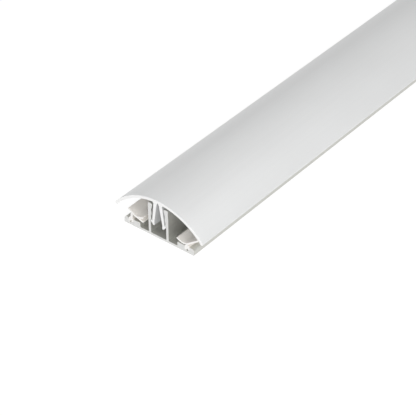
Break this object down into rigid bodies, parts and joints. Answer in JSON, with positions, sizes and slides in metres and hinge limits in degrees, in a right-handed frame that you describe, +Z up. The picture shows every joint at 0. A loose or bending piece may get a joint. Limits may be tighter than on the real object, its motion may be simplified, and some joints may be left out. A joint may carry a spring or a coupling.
{
  "type": "floor cable duct",
  "caption": "Snap-together floor cable duct: an arched cover over a flat base channel with two toothed posts and a hinged plastic strip along each edge.",
  "frame": {"origin": "on the ground, under the middle of the base, halfway along the duct", "axes": "+Y along the duct, +X across it, +Z up"},
  "size_m": [0.1, 1, 0.041],
  "materials": {
    "anodised_cover": "satin natural anodised, smooth",
    "anodised_base": "satin natural anodised, extrusion lines along its length",
    "strip_plastic": "matt, pale warm grey"
  },
  "bodies": {
    "base": {"base_channel": "anodised_base"},
    "cover": {"cover": "anodised_cover"},
    "left_strip": {"left_edge_strip": "strip_plastic"},
    "right_strip": {"right_edge_strip": "strip_plastic"}
  },
  "joints": [
    {"name": "cover_slide", "type": "slide", "parent": "base", "child": "cover", "axis": [0, 1, 0], "range_m": [-0.95, 0.95]},
    {"name": "left_strip_hinge", "type": "hinge", "parent": "base", "child": "left_strip", "pos_m": [-0.0322, 0, 0.0054], "axis": [0, -1, 0], "range_deg": [-12, 45]},
    {"name": "right_strip_hinge", "type": "hinge", "parent": "base", "child": "right_strip", "pos_m": [0.0322, 0, 0.0054], "axis": [0, 1, 0], "range_deg": [-8, 30]}
  ]
}
